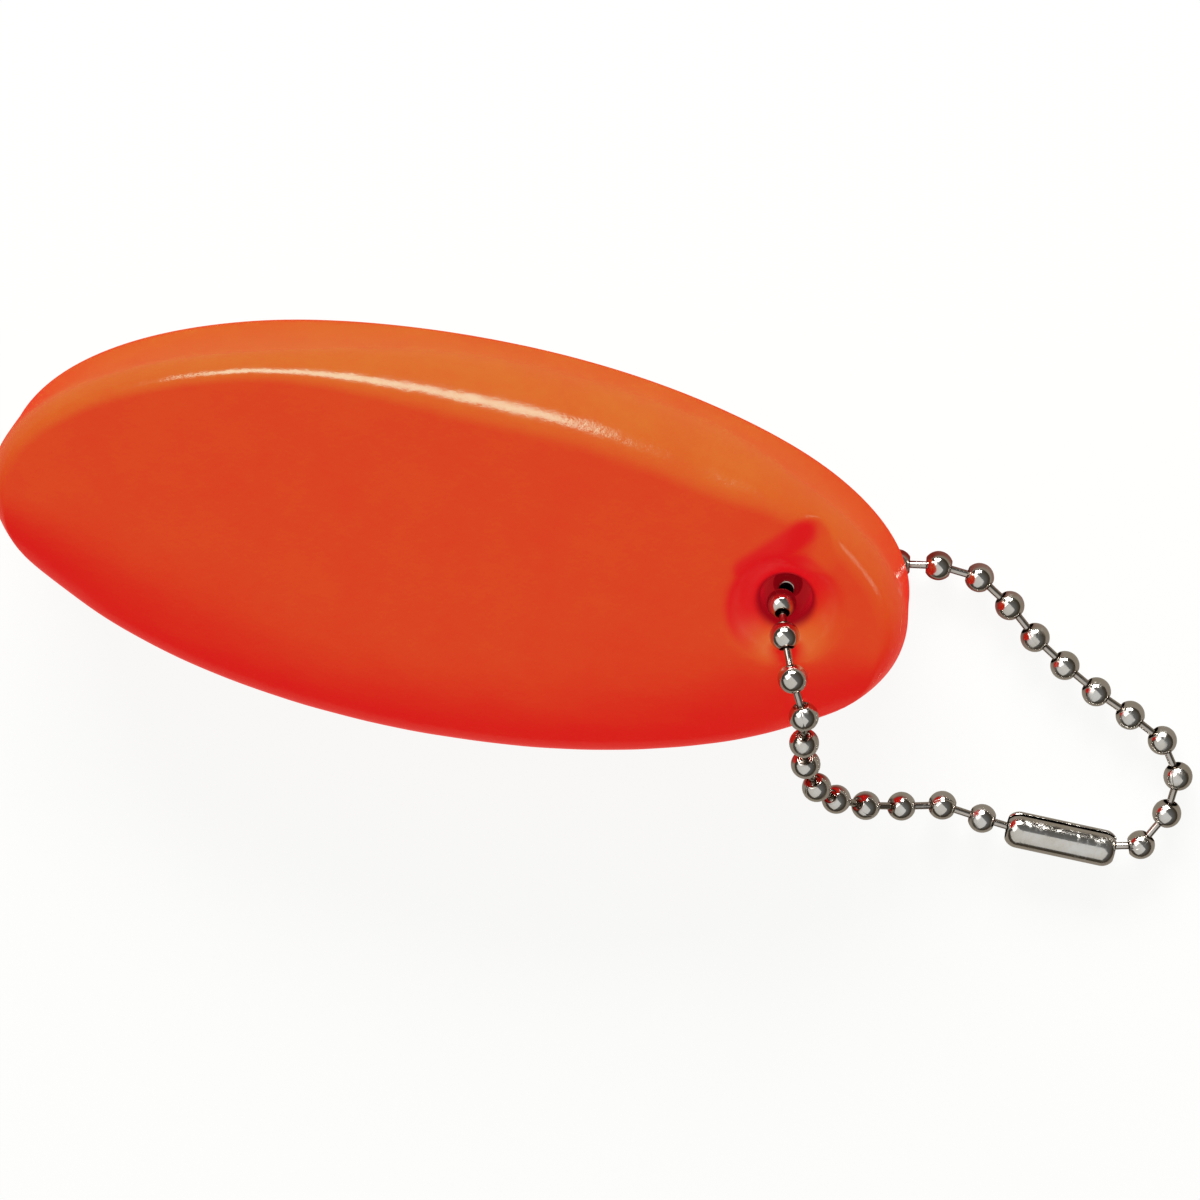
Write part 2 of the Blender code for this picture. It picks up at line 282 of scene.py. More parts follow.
def speck_group():
    """Few small round specks: cells of which only some are dark, each near its own centre."""
    tree, given, out = new_group(
        "dark specks",
        [
            ("Vector", "NodeSocketVector", None),
            ("Scale", "NodeSocketFloat", 250.0),
            ("Share", "NodeSocketFloat", 0.1),
        ],
        [("Mask", "NodeSocketFloat")],
    )
    where, scale, share = given.outputs["Vector"], given.outputs["Scale"], given.outputs["Share"]
    cells = add_node(tree, "ShaderNodeTexVoronoi", Vector=where, Scale=scale)
    parts = add_node(tree, "ShaderNodeSeparateColor", Color=cells.outputs["Color"])
    picked = add_node(tree, "ShaderNodeMath", {"operation": "LESS_THAN"}, _0=parts.outputs["Red"], _1=share)
    near = spread(tree, cells.outputs["Distance"], SPECK_RIM, SPECK_CORE)
    speck = add_node(tree, "ShaderNodeMath", {"operation": "MULTIPLY"}, _0=picked.outputs[0], _1=near)
    tree.links.new(speck.outputs[0], out.inputs["Mask"])
    return tree


def scratch_group():
    """Fine rubbing marks: noise drawn out along one way, in two directions, of which only crests count."""
    tree, given, out = new_group(
        "rubbing marks",
        [("Vector", "NodeSocketVector", None), ("Scale", "NodeSocketFloat", 900.0)],
        [("Mask", "NodeSocketFloat")],
    )
    crests = []
    for turn, stretch in ((0.4, 0.06), (1.9, 0.10)):
        drawn = add_node(tree, "ShaderNodeMapping", Vector=given.outputs["Vector"],
                         Rotation=(0.3, turn, turn), Scale=(1.0, stretch, 1.0))
        noise = add_node(tree, "ShaderNodeTexNoise", Vector=drawn.outputs["Vector"],
                         Scale=given.outputs["Scale"], Detail=2.0, Roughness=0.6)
        crests.append(spread(tree, noise.outputs["Fac"], 0.56, 0.70))
    most = add_node(tree, "ShaderNodeMath", {"operation": "MAXIMUM"}, _0=crests[0], _1=crests[1])
    tree.links.new(most.outputs[0], out.inputs["Mask"])
    return tree


MOTTLE = mottle_group()
SPECKS = speck_group()
MARKS = scratch_group()


def use_group(tree, group, **inputs):
    node = add_node(tree, "ShaderNodeGroup", {"node_tree": group})
    for key, value in inputs.items():
        if isinstance(value, bpy.types.NodeSocket):
            tree.links.new(value, node.inputs[key])
        else:
            node.inputs[key].default_value = value
    return node.outputs[0]


def mixed(tree, factor, one, other):
    """The colour between one and other, by a factor."""
    node = add_node(tree, "ShaderNodeMix", {"data_type": "RGBA"})
    for socket, value in zip((node.inputs[0], node.inputs[6], node.inputs[7]), (factor, one, other)):
        if isinstance(value, bpy.types.NodeSocket):
            tree.links.new(value, socket)
        else:
            socket.default_value = value if isinstance(value, float) else (*value, 1.0)
    return node.outputs[2]


def new_material(name, **constants):
    """A material whose Principled shader has its constant values set on its own sockets."""
    made = bpy.data.materials.new(name)
    made.use_nodes = True
    surface = made.node_tree.nodes["Principled BSDF"]
    for key, value in constants.items():
        surface.inputs[key.replace("_", " ")].default_value = value
    return made, made.node_tree, surface


# The vinyl's red glows of its own, so that light and shade change its green far more than its red
VINYL_FACE = (0.022, 0.059, 0.006)
VINYL_PALE = (0.024, 0.075, 0.007)
# Painted shade on the crater's sides towards -X and +Y and along the groove
VINYL_SIDE_SHADE = (0.022, 0.016, 0.006)
# Painted shade deep in the crater and down the hole
VINYL_HOLE_SHADE = (0.022, 0.010, 0.006)
VINYL_SPECK = (0.020, 0.012, 0.006)
VINYL_GLOW = (0.68, 0.0035, 0.009)
# Weaker glow in the painted shade deep in the crater and down the hole
VINYL_GLOW_HOLE_SHADE = (0.30, 0.0020, 0.007)
VINYL_SHEEN = (0.42, 1.0, 0.76, 1.0)
VINYL_LEAST_ROUGH = 0.13
VINYL_MOST_ROUGH = 0.20
SATIN_RIM = 0.0054
SATIN_FULL = 0.0042
SATIN_ROUGHNESS = 0.22


def vinyl_material():
    """Glossy dipped vinyl: fluorescent orange-red, with painted shade that makes it redder on the crater's
    sides, along the groove, deep in the crater and down the hole, and less glossy within the crater."""
    made, tree, surface = new_material(
        "dipped vinyl", IOR=1.29, Specular_Tint=VINYL_SHEEN, Emission_Strength=1.0,
    )
    where = add_node(tree, "ShaderNodeTexCoord").outputs["Object"]
    hole_shade = add_node(tree, "ShaderNodeAttribute", {"attribute_name": "hole_shade"}).outputs["Fac"]
    side_shade = add_node(tree, "ShaderNodeAttribute", {"attribute_name": "side_shade"}).outputs["Fac"]
    patches = use_group(tree, MOTTLE, Vector=where, Scale=170.0)
    specks = use_group(tree, SPECKS, Vector=where, Scale=190.0, Share=0.05)
    even = mixed(tree, spread(tree, patches, 0.35, 0.68), VINYL_FACE, VINYL_PALE)
    # painted shade on the crater's sides towards -X and +Y and along the groove
    side_shaded = mixed(tree, side_shade, even, VINYL_SIDE_SHADE)
    # painted shade deep in the crater and down the hole
    hole_shaded = mixed(tree, hole_shade, side_shaded, VINYL_HOLE_SHADE)
    flecked = mixed(tree, specks, hole_shaded, VINYL_SPECK)
    tree.links.new(flecked, surface.inputs["Base Color"])
    # the glow is also weaker in that painted shade
    glow = mixed(tree, hole_shade, VINYL_GLOW, VINYL_GLOW_HOLE_SHADE)
    tree.links.new(glow, surface.inputs["Emission Color"])
    fine = use_group(tree, MOTTLE, Vector=where, Scale=620.0)
    rough = add_node(
        tree, "ShaderNodeMapRange",
        Value=fine, From_Min=0.3, From_Max=0.7, To_Min=VINYL_LEAST_ROUGH, To_Max=VINYL_MOST_ROUGH,
    ).outputs["Result"]
    away = add_node(
        tree, "ShaderNodeVectorMath", {"operation": "DISTANCE"}, _0=where, _1=(HOLE.x, HOLE.y, THICKNESS),
    ).outputs["Value"]
    satin = add_node(
        tree, "ShaderNodeMath", {"operation": "MULTIPLY_ADD"},
        _0=spread(tree, away, SATIN_RIM, SATIN_FULL), _1=SATIN_ROUGHNESS, _2=rough,
    )
    tree.links.new(satin.outputs[0], surface.inputs["Roughness"])
    broad = add_node(tree, "ShaderNodeBump", Strength=0.20, Distance=0.00003, Height=patches)
    bump = add_node(tree, "ShaderNodeBump", Strength=0.45, Distance=0.00009, Height=fine,
                    Normal=broad.outputs["Normal"])
    tree.links.new(bump.outputs["Normal"], surface.inputs["Normal"])
    return made


NICKEL = (0.66, 0.64, 0.60)
NICKEL_WORN = (0.56, 0.52, 0.45)
# Painted shade for the ring round each pin, the pin and the inside of the sleeve
NICKEL_SHADE = (0.30, 0.23, 0.18)


def nickel_material():
    """Bright nickel plate with rubbing marks, faint warm tarnish and painted shade round the pins and
    inside the sleeve.
    """
    made, tree, surface = new_material("nickel plate", Metallic=1.0)
    where = add_node(tree, "ShaderNodeTexCoord").outputs["Object"]
    recess_shade = add_node(tree, "ShaderNodeAttribute", {"attribute_name": "recess_shade"}).outputs["Fac"]
    tarnish = spread(tree, use_group(tree, MOTTLE, Vector=where, Scale=420.0), 0.40, 0.72)
    marks = use_group(tree, MARKS, Vector=where, Scale=1500.0)
    plate = mixed(tree, tarnish, NICKEL, NICKEL_WORN)
    # painted shade in the recesses round the pins and inside the sleeve
    recess_shaded = mixed(tree, recess_shade, plate, NICKEL_SHADE)
    tree.links.new(recess_shaded, surface.inputs["Base Color"])
    rough = add_node(tree, "ShaderNodeMapRange", Value=marks, To_Min=0.11, To_Max=0.30)
    tree.links.new(rough.outputs["Result"], surface.inputs["Roughness"])
    bump = add_node(tree, "ShaderNodeBump", Strength=0.14, Distance=0.00002, Height=marks)
    tree.links.new(bump.outputs["Normal"], surface.inputs["Normal"])
    return made


def outwards(points, faces):
    """The faces, each turned round if the volume that they enclose comes out negative."""
    volume = 0.0
    for side in faces:
        first = points[side[:, 0]]
        for k in range(1, side.shape[1] - 1):
            volume += np.einsum("ij,ij->", first, np.cross(points[side[:, k]], points[side[:, k + 1]]))
    return faces if volume > 0 else [side[:, ::-1] for side in faces]


def add_piece(name, points, faces, finish, body, nodes, masks=None, sharp=50):
    """One closed surface whose place is in its mesh: it rides on a body and stands for CAD nodes."""
    mesh = bpy.data.meshes.new(name)
    faces = [face for side in outwards(points, faces) for face in side.tolist()]
    mesh.from_pydata(points.tolist(), [], faces)
    for label, values in (masks or {}).items():
        mesh.attributes.new(label, "FLOAT", "POINT").data.foreach_set("value", values.astype(np.float32))
    mesh.materials.append(finish)
    mesh.shade_smooth()
    mesh.set_sharp_from_angle(angle=math.radians(sharp))
    piece = bpy.data.objects.new(name, mesh)
    bpy.context.scene.collection.objects.link(piece)
    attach(piece, body)
    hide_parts(*nodes)
    return piece


def quads(rows, columns, start=0, wrap_rows=False, wrap_columns=False):
    """The four corners of each cell of a grid that is stored row by row."""
    row = np.arange(rows if wrap_rows else rows - 1)[:, None]
    column = np.arange(columns if wrap_columns else columns - 1)[None, :]
    here, below = row * columns, (row + 1) % rows * columns
    beside = (column + 1) % columns
    corners = (here + column, here + beside, below + beside, below + column)
    return start + np.stack([corner.ravel() for corner in corners], axis=1)


def soft_most(a, b, soft):
    """The greater of a and b, rounded where they cross: half their sum and the root of their difference
    squared plus soft squared."""
    return (a + b + np.sqrt((a - b) ** 2 + soft ** 2)) / 2


def oval_lines():
    """The float's outline, its outward normals, the upper edge's share of its full size and the line on
    which it starts, and each column's way from the hole to that line with its length. The columns are
    crowded near the hole's end: each angle is lessened by the crowding times its sine."""
    turn = np.linspace(0, math.tau, FLOAT_COLUMNS, endpoint=False)
    turn = turn - CROWDING * np.sin(turn)
    outline = np.stack([LENGTH / 2 * np.cos(turn), WIDTH / 2 * np.sin(turn)], axis=1)
    normal = np.stack([np.cos(turn) / LENGTH, np.sin(turn) / WIDTH], axis=1)
    normal /= np.linalg.norm(normal, axis=1, keepdims=True)
    full = edge_share(outline[:, 0], outline[:, 1])[:, None]
    inset = outline - EDGE_REACH * full * normal
    way = inset - np.array(HOLE.xy)
    reach = np.linalg.norm(way, axis=1, keepdims=True)
    return outline, normal, full, inset, way / reach, reach


def soft_step(value):
    """Eases from 0 to 1 as the value goes from 0 to 1."""
    held = np.clip(value, 0, 1)
    return held * held * (3 - 2 * held)


def edge_share(x, y):
    """The edge's size as a share of its full one, which it has on the +Y side near the middle. It eases
    off to less at the tail and at the hole's end, and to one steady share on the -Y side."""
    at_tail = EDGE_TIGHTER_AT_TAIL * soft_step((TAIL_EASE_START - x) / TAIL_EASE_LENGTH)
    at_hole = EDGE_TIGHTER_AT_HOLE * soft_step((x - HOLE_EASE_START) / HOLE_EASE_LENGTH)
    side = soft_step(0.5 + FAR_EDGE_EASE * y / WIDTH)
    return side * (1 - at_tail - at_hole) + (1 - side) * FAR_EDGE_SHARE


def crater_depth(x, y, rim, deepest):
    """Falls off as the square of the way from the bore to the rim, and is level beyond it."""
    from_hole = np.hypot(x - HOLE.x, y - HOLE.y)
    share = np.clip((from_hole - BORE) / (rim - BORE), 0, 1)
    return (deepest + CRATER_LIP) * (1 - share) ** 2 - CRATER_LIP


def along_and_aside(x, y, swing):
    """How far a point lies along and beside a line from the hole that is turned by swing from +X."""
    dx, dy = x - HOLE.x, y - HOLE.y
    return dx * math.cos(swing) + dy * math.sin(swing), dy * math.cos(swing) - dx * math.sin(swing)


def groove_depth(x, y):
    """A soft groove: full depth at its middle, falling off to the side as a squared cosine."""
    along, aside = along_and_aside(x, y, GROOVE_SWING)
    fall = np.cos(np.clip(aside / GROOVE_HALF_WIDTH, -1, 1) * math.pi / 2) ** 2
    return np.where(along > 0, GROOVE_DEPTH * fall, 0)


def side_shade_mask(x, y, pit):
    """1 where shade is painted: the crater's sides towards -X and +Y, and a band that runs from there
    along the groove. The way to the band is that to the nearest point between its two ends."""
    dx, dy = x - HOLE.x, y - HOLE.y
    turned_to = (SHADE_SIDE[0] * dx + SHADE_SIDE[1] * dy) / np.maximum(np.hypot(dx, dy), 1e-6)
    crater = soft_step(pit / SHADE_LEAST_PIT) * soft_step(0.5 + SHADE_SIDE_EASE * turned_to)
    start, span = np.array(SHADE_BAND_FROM), np.array(SHADE_BAND_TO) - np.array(SHADE_BAND_FROM)
    dx, dy = dx - start[0], dy - start[1]
    share = np.clip((dx * span[0] + dy * span[1]) / (span @ span), 0, 1)
    from_band = np.hypot(dx - share * span[0], dy - share * span[1])
    return np.maximum(crater, soft_step((SHADE_BAND_WIDTH - from_band) / SHADE_BAND_SOFT + 0.5))


def channel_roof(x, y):
    """The arch over the lying chain: a half circle about the bead's middle, on straight legs."""
    along, aside = along_and_aside(x, y, CHANNEL_SWING)
    half = BEAD + CLEARANCE
    arch = BEAD + np.sqrt(np.maximum(half ** 2 - aside ** 2, 0))
    return np.where((along > 0) & (np.abs(aside) < half), arch, -THICKNESS)


def skin_wave(x, y, z):
    """Faint swells of a dipped skin: a sum of sines, each along a way of its own, from 0 to 1."""
    total = np.zeros_like(x)
    for number, length in enumerate(SWELL_LENGTHS):
        angle = SWELL_TURN * number + SWELL_FIRST_TURN
        along = x * math.cos(angle) + y * math.sin(angle) + SWELL_RISE * z
        total += np.sin(math.tau * along / length + SWELL_PHASE * number)
    return 0.5 + total / (2 * len(SWELL_LENGTHS))


def upper_edge(bend):
    """How far out and how far down the upper edge has come where it leans by the bend. Its radius grows
    as one and the fullness times the bend's sine squared, so it turns fast at the face and slowly at
    the wall. Both ways are that radius summed along the curve, and end at the edge's reach and height."""
    sine, cosine = np.sin(bend), np.cos(bend)
    out = sine + EDGE_FULLNESS * sine ** 3 / 3
    down = 1 - cosine + EDGE_FULLNESS * (2 - 3 * cosine + cosine ** 3) / 3
    return EDGE_REACH * out / (1 + EDGE_FULLNESS / 3), EDGE_HEIGHT * down / (1 + EDGE_FULLNESS * 2 / 3)


def far_side_drop(x, y, edge_drop):
    """How far the upper face lies below its full height: the edge's own drop, or on the side of -Y a
    gentler fall that starts further in, whichever is greater. The gentle fall goes as one less the root
    of one less a power of the way out, which is measured from the oval's middle."""
    size = np.hypot(2 * x / LENGTH, 2 * y / WIDTH)
    narrowing = np.sqrt(np.maximum(1 - FAR_END_SHARE * (2 * x / LENGTH) ** 2, FAR_END_LEAST))
    from_edge = (1 - size) * WIDTH / 2 * narrowing
    share = np.clip(1 - from_edge / FAR_REACH, 0, 1)
    gentle = FAR_HEIGHT * (1 - np.sqrt(1 - share ** FAR_POWER))
    side = soft_step(-FAR_EASE * 2 * y / WIDTH)
    return np.maximum(edge_drop, gentle * side)


def float_piece(finish):
    """A closed ring of columns round the hole. Each column runs up the bore, out over the crater and
    the face, down the rounded edge and the wall, and back under the float to the bore."""
    outline, normal, full, inset, way, reach = oval_lines()
    hole = np.array(HOLE.xy)
    near = np.minimum(CRATER_RIM + PAST_RIM, MOST_OF_WAY * reach)
    share = np.linspace(0, 1, CRATER_RINGS + 1)[None, 1:]
    inner = BORE + (near - BORE) * share ** CRATER_CROWDING
    share = np.linspace(0, 1, FACE_RINGS + 1)[None, 1:]
    outer = near + (reach - near) * (1 - (1 - share) ** FACE_CROWDING)
    from_hole = np.concatenate([inner, outer], axis=1)
    face = hole + way[:, None, :] * from_hole[:, :, None]
    bend = np.linspace(0, math.pi / 2, EDGE_RINGS + 1)[1:]
    edge_out, edge_drop = upper_edge(bend)
    edge = inset[:, None, :] + normal[:, None, :] * (full * edge_out)[:, :, None]
    top_lines = np.concatenate([face, edge], axis=1)
    lean = np.concatenate([np.zeros(from_hole.shape[1]), bend])
    x, y = top_lines[..., 0], top_lines[..., 1]
    edge_drops = np.concatenate([np.zeros(from_hole.shape), full * edge_drop], axis=1)
    top_drop = far_side_drop(x, y, edge_drops)
    swell = SKIN_WAVE * skin_wave(x, y, THICKNESS - top_drop)
    pit = crater_depth(x, y, CRATER_RIM, CRATER_DEPTH)
    press = soft_most(pit, groove_depth(x, y), SOFT_PRESS)
    drop = soft_most(top_drop + swell * np.cos(lean), press, SOFT_PRESS)
    # painted shade deep in the crater, past a depth
    hole_shade = soft_step((pit - HOLE_SHADE_START) / HOLE_SHADE_SPAN)
    # painted shade on the crater's sides and along the groove
    side_shade = side_shade_mask(x, y, pit)
    x = x - normal[:, None, 0] * swell * np.sin(lean)
    y = y - normal[:, None, 1] * swell * np.sin(lean)
    top = np.stack([x, y, THICKNESS - drop], axis=2)
    wall_top = THICKNESS - EDGE_HEIGHT * full
    rise = wall_top + (LOWER_EDGE_HEIGHT - wall_top) * np.linspace(0, 1, WALL_RINGS + 2)[None, 1:-1]
    wall_xy = np.repeat(outline[:, None, :], rise.shape[1], axis=1)
    swell = SKIN_WAVE * skin_wave(wall_xy[..., 0], wall_xy[..., 1], rise)
    wall_xy = wall_xy - normal[:, None, :] * swell[..., None]
    wall = np.concatenate([wall_xy, rise[..., None]], axis=2)
    edge = inset[:, None, :] + normal[:, None, :] * (EDGE_REACH * full * np.sin(bend))[:, :, None]
    below_lines = np.concatenate([edge[:, ::-1], face[:, ::-1]], axis=1)
    edge_rise = LOWER_EDGE_HEIGHT * (1 - np.cos(bend[::-1]))
    below_rise = np.concatenate([edge_rise, np.zeros(from_hole.shape[1])])
    x, y = below_lines[..., 0], below_lines[..., 1]
    pit = crater_depth(x, y, LOWER_CRATER_RIM, LOWER_CRATER_DEPTH)
    lower = soft_most(np.broadcast_to(below_rise, x.shape), pit, SOFT_PRESS_BELOW)
    lower = np.maximum(np.maximum(lower, 0), channel_roof(x, y))
    below = np.stack([x, y, lower], axis=2)
    height = np.linspace(LOWER_CRATER_DEPTH, THICKNESS - CRATER_DEPTH, BORE_RINGS)
    bore_xy = hole + way * BORE
    bore = np.concatenate([
        np.repeat(bore_xy[:, None, :], BORE_RINGS, axis=1),
        np.broadcast_to(height[None, :, None], (FLOAT_COLUMNS, BORE_RINGS, 1)),
    ], axis=2)
    rows = np.concatenate([bore, top, wall, below], axis=1)
    in_bore, on_wall = np.ones(bore.shape[:2]), np.zeros(wall.shape[:2])
    # painted shade all down the bore and in the crater underneath
    hole_shade = np.concatenate([in_bore, hole_shade, on_wall, soft_step(pit / LOWER_CRATER_DEPTH)], axis=1)
    # painted shade also all down the bore
    side_shade = np.concatenate([in_bore, side_shade, on_wall, np.zeros(pit.shape)], axis=1)
    stations = rows.shape[1]
    faces = [quads(FLOAT_COLUMNS, stations, wrap_rows=True, wrap_columns=True)]
    return add_piece(
        "float_body", rows.reshape(-1, 3), faces, finish, "keychain", ["float"],
        {"hole_shade": hole_shade.ravel(), "side_shade": side_shade.ravel()},
    )


def half_width_at(x):
    """Half the float's width, from its oval outline."""
    return WIDTH / 2 * math.sqrt(max(0, 1 - (2 * x / LENGTH) ** 2))


def chain_route():
    """Points that the chain passes, from one end bead to the other, chosen along its lie."""
    end = LENGTH / 2
    on_face = THICKNESS + CLEARANCE + BEAD
    seat = CONNECTOR_AXIS * (CONNECTOR_LENGTH / 2 - CONNECTOR_WALL - END_BEAD_PLAY - BEAD)
    lie = Vector((math.cos(CHANNEL_SWING), math.sin(CHANNEL_SWING), 0))
    first, last = CONNECTOR_CENTRE - seat, CONNECTOR_CENTRE + seat
    before = first - Matrix.Rotation(-CONNECTOR_ENTRY_TURN, 3, "Z") @ CONNECTOR_AXIS * LINK_PITCH
    after = last + Matrix.Rotation(CONNECTOR_EXIT_TURN, 3, "Z") @ CONNECTOR_AXIS * LINK_PITCH
    rim_x = HOLE.x + 0.0030
    rim_y = -half_width_at(rim_x)
    return [
        first,
        before,
        (end + 0.0060, rim_y - 0.0083, 0.0017),
        (end + 0.0025, rim_y - 0.0086, 0.0028),
        (rim_x + 0.0062, rim_y - 0.0082, THICKNESS - 0.0087),
        (rim_x + 0.0038, rim_y - 0.0071, THICKNESS - 0.0066),
        (rim_x + 0.0021, rim_y - 0.0053, THICKNESS - 0.0043),
        (rim_x + 0.0009, rim_y - 0.0027, THICKNESS - 0.0025),
        (rim_x + 0.0004, rim_y + 0.0001, THICKNESS - 0.0003),
        (rim_x - 0.0002, rim_y + 0.0034, on_face),
        (HOLE.x + 0.0014, HOLE.y - 0.0043, on_face + 0.0001),
        (HOLE.x + 0.0004, HOLE.y - 0.0021, THICKNESS - 0.0003),
        (HOLE.x - 0.0003, HOLE.y - 0.0004, THICKNESS - 0.0036),
        (HOLE.x, HOLE.y, THICKNESS / 2),
        HOLE - lie * 0.0003 + Vector((0, 0, 0.0042)),
        HOLE + lie * 0.0015 + Vector((0, 0, 0.0015)),
        HOLE + lie * 0.0048 + Vector((0, 0, BEAD)),
        HOLE + lie * HOLE_FROM_END + Vector((0, 0, BEAD)),
        (end + 0.0021, 0.0029, BEAD),
        (end + 0.0053, 0.0025, BEAD),
        (end + 0.0080, 0.0007, BEAD),
        (end + 0.0105, -0.0016, BEAD),
        (end + 0.0134, -0.0036, BEAD),
        (end + 0.0164, -0.0054, BEAD),
        (end + 0.0195, -0.0069, BEAD),
        (end + 0.0225, -0.0086, BEAD),
        (end + 0.0243, -0.0113, BEAD),
        (end + 0.0242, -0.0145, BEAD),
        after,
        last,
    ]


def smooth_path(route, steps=24):
    """A centripetal Catmull-Rom curve: knots lie apart by the square root of the distance between
    points, and each stretch blends its four nearest points three times over."""
    points = np.array([tuple(point) for point in route], float)
    points = np.vstack([2 * points[0] - points[1], points, 2 * points[-1] - points[-2]])
    knots = np.append(0, np.cumsum(np.sqrt(np.linalg.norm(np.diff(points, axis=0), axis=1))))
    line = []
    for start in range(1, len(points) - 2):
        t = np.linspace(knots[start], knots[start + 1], steps, endpoint=False)[:, None]
        at = knots[start - 1:start + 3]
        level = list(points[start - 1:start + 3])
        for reach, starts in ((1, (0, 1, 2)), (2, (0, 1)), (1, (1,))):
            level = [
                (p * (at[k + reach] - t) + q * (t - at[k])) / (at[k + reach] - at[k])
                for k, p, q in zip(starts, level, level[1:])
            ]
        line.append(level[0])
    line = np.vstack([*line, points[-2:-1]])
    line[:, 2] = np.maximum(line[:, 2], BEAD)
    return line


def step_from(number, pitch):
    """How far a bead lies from the next: the pin heads pull out where the chain hangs, and slide in
    where it is slack inside the hole and under the float."""
    if number < HANGING_LINKS:
        return pitch + HANGING_PULL
    if number < HANGING_LINKS + HIDDEN_LINKS:
        return pitch - HIDDEN_SLACK
    return pitch


def walk(line, pitch):
    """Points on the line, each a step from the one before."""
    here, place, found = line[0], 0, [line[0]]
    while True:
        step = step_from(len(found) - 1, pitch)
        away = np.linalg.norm(line[place + 1:] - here, axis=1)
        beyond = np.nonzero(away >= step)[0]
        if not len(beyond):
            return found
        far = place + 1 + int(beyond[0])
        a, b = line[far - 1], line[far]
        low, high = 0.0, 1.0
        for _ in range(30):
            middle = (low + high) / 2
            if np.linalg.norm(a + (b - a) * middle - here) < step:
                low = middle
            else:
                high = middle
        here, place = a + (b - a) * high, far - 1
        found.append(here)


def bead_centres():
    """Bead centres, and the pitch with which a whole number of links closes the loop."""
    line = smooth_path(chain_route())
    links = len(walk(line, LINK_PITCH)) - 1
    short, long = LINK_PITCH * 0.9, LINK_PITCH * 1.1
    for _ in range(40):
        pitch = (short + long) / 2
        if len(walk(line, pitch)) - 1 >= links + 1:
            short = pitch
        else:
            long = pitch
    return [Vector(centre) for centre in np.array(walk(line, short)[:links + 2])], short


def arc(radius, start, stop, steps, z=0.0):
    """(radius, z) points on a circle about the axis, by the angle from +Z."""
    angle = np.linspace(start, stop, steps + 1)
    return np.stack([radius * np.sin(angle), z + radius * np.cos(angle)], axis=1)


LIP_ANGLE = math.asin(LIP / BEAD_SKIN)
INSIDE_ANGLE = math.asin(BEAD_HOLE / BEAD_INSIDE)


def pin_side(pitch):
    """Pin head, pin, and the shallow ring in which the pin leaves its bead."""
    neck = math.pi - math.asin(PIN / PIN_HEAD)
    head = arc(PIN_HEAD, 0, neck, HEAD_STEPS, pitch)
    top = pitch + PIN_HEAD * math.cos(neck)
    heights = np.linspace(top, PIN_ROOT, SHANK_RINGS + 2)[1:-1]
    shank = np.stack([np.full(SHANK_RINGS, PIN), heights], axis=1)
    return np.vstack([head, shank, [(PIN, PIN_ROOT), *PIN_RING]])


def hole_side(sign):
    """The lip of the pin hole on the side of +Z or -Z, from the bead's outside to its inside."""
    return np.array(HOLE_LIP) * (1, sign)


def link_profile(pitch):
    """From the tip of the pin's head over the bead to its hole, and inside it back to the axis."""
    outside = arc(BEAD_SKIN, LIP_ANGLE, math.pi - LIP_ANGLE, OUTSIDE_STEPS)
    inside = arc(BEAD_INSIDE, math.pi - INSIDE_ANGLE, 0, INSIDE_STEPS)
    line = np.vstack([pin_side(pitch), outside, hole_side(-1), inside[1:]])
    line[0, 0] = line[-1, 0] = 0
    return line


def end_bead_profile():
    """A closed line round the wall of the bead that has a hole at both ends."""
    outside = arc(BEAD_SKIN, LIP_ANGLE, math.pi - LIP_ANGLE, OUTSIDE_STEPS)
    inside = arc(BEAD_INSIDE, math.pi - INSIDE_ANGLE, INSIDE_ANGLE, INSIDE_STEPS)
    return np.vstack([outside, hole_side(-1), inside[1:-1], hole_side(1)[::-1]])


def turned(profile, poles):
    """The profile turned about Z, with its seam: radii shrink by a bell curve round the seam's line.
    A profile that starts and ends on the axis closes there in a fan of triangles."""
    seam = np.array(SEAM_TURNS)
    rest = np.linspace(SEAM_CLEAR, math.tau - SEAM_CLEAR, BEAD_SIDES - 2 * len(seam) + 1)
    turn = np.concatenate([seam, rest, math.tau - seam[:0:-1]])
    from_seam = np.minimum(turn, math.tau - turn) * BEAD
    shrink = 1 - SEAM_DEPTH / BEAD * np.exp(-((from_seam / SEAM_WIDTH) ** 2))
    rings = profile[1:-1] if poles else profile
    size = np.hypot(rings[:, 0], rings[:, 1])
    seamed = (np.abs(size - BEAD_SKIN) < 1e-6)[:, None]
    radius = rings[:, 0, None] * np.where(seamed, shrink[None, :], 1)
    points = np.stack([
        radius * np.cos(turn), radius * np.sin(turn), np.repeat(rings[:, 1, None], len(turn), axis=1),
    ], axis=2)
    count, sides = points.shape[:2]
    faces = [quads(count, sides, wrap_rows=not poles, wrap_columns=True)]
    points = points.reshape(-1, 3)
    if poles:
        near, side = np.arange(sides), (np.arange(sides) + 1) % sides
        last = (count - 1) * sides
        top, bottom = np.full(sides, len(points)), np.full(sides, len(points) + 1)
        faces.append(np.stack([top, side, near], axis=1))
        faces.append(np.stack([bottom, last + near, last + side], axis=1))
        ends = np.array([(0, 0, profile[0, 1]), (0, 0, profile[-1, 1])])
        points = np.vstack([points, ends])
    return points, faces


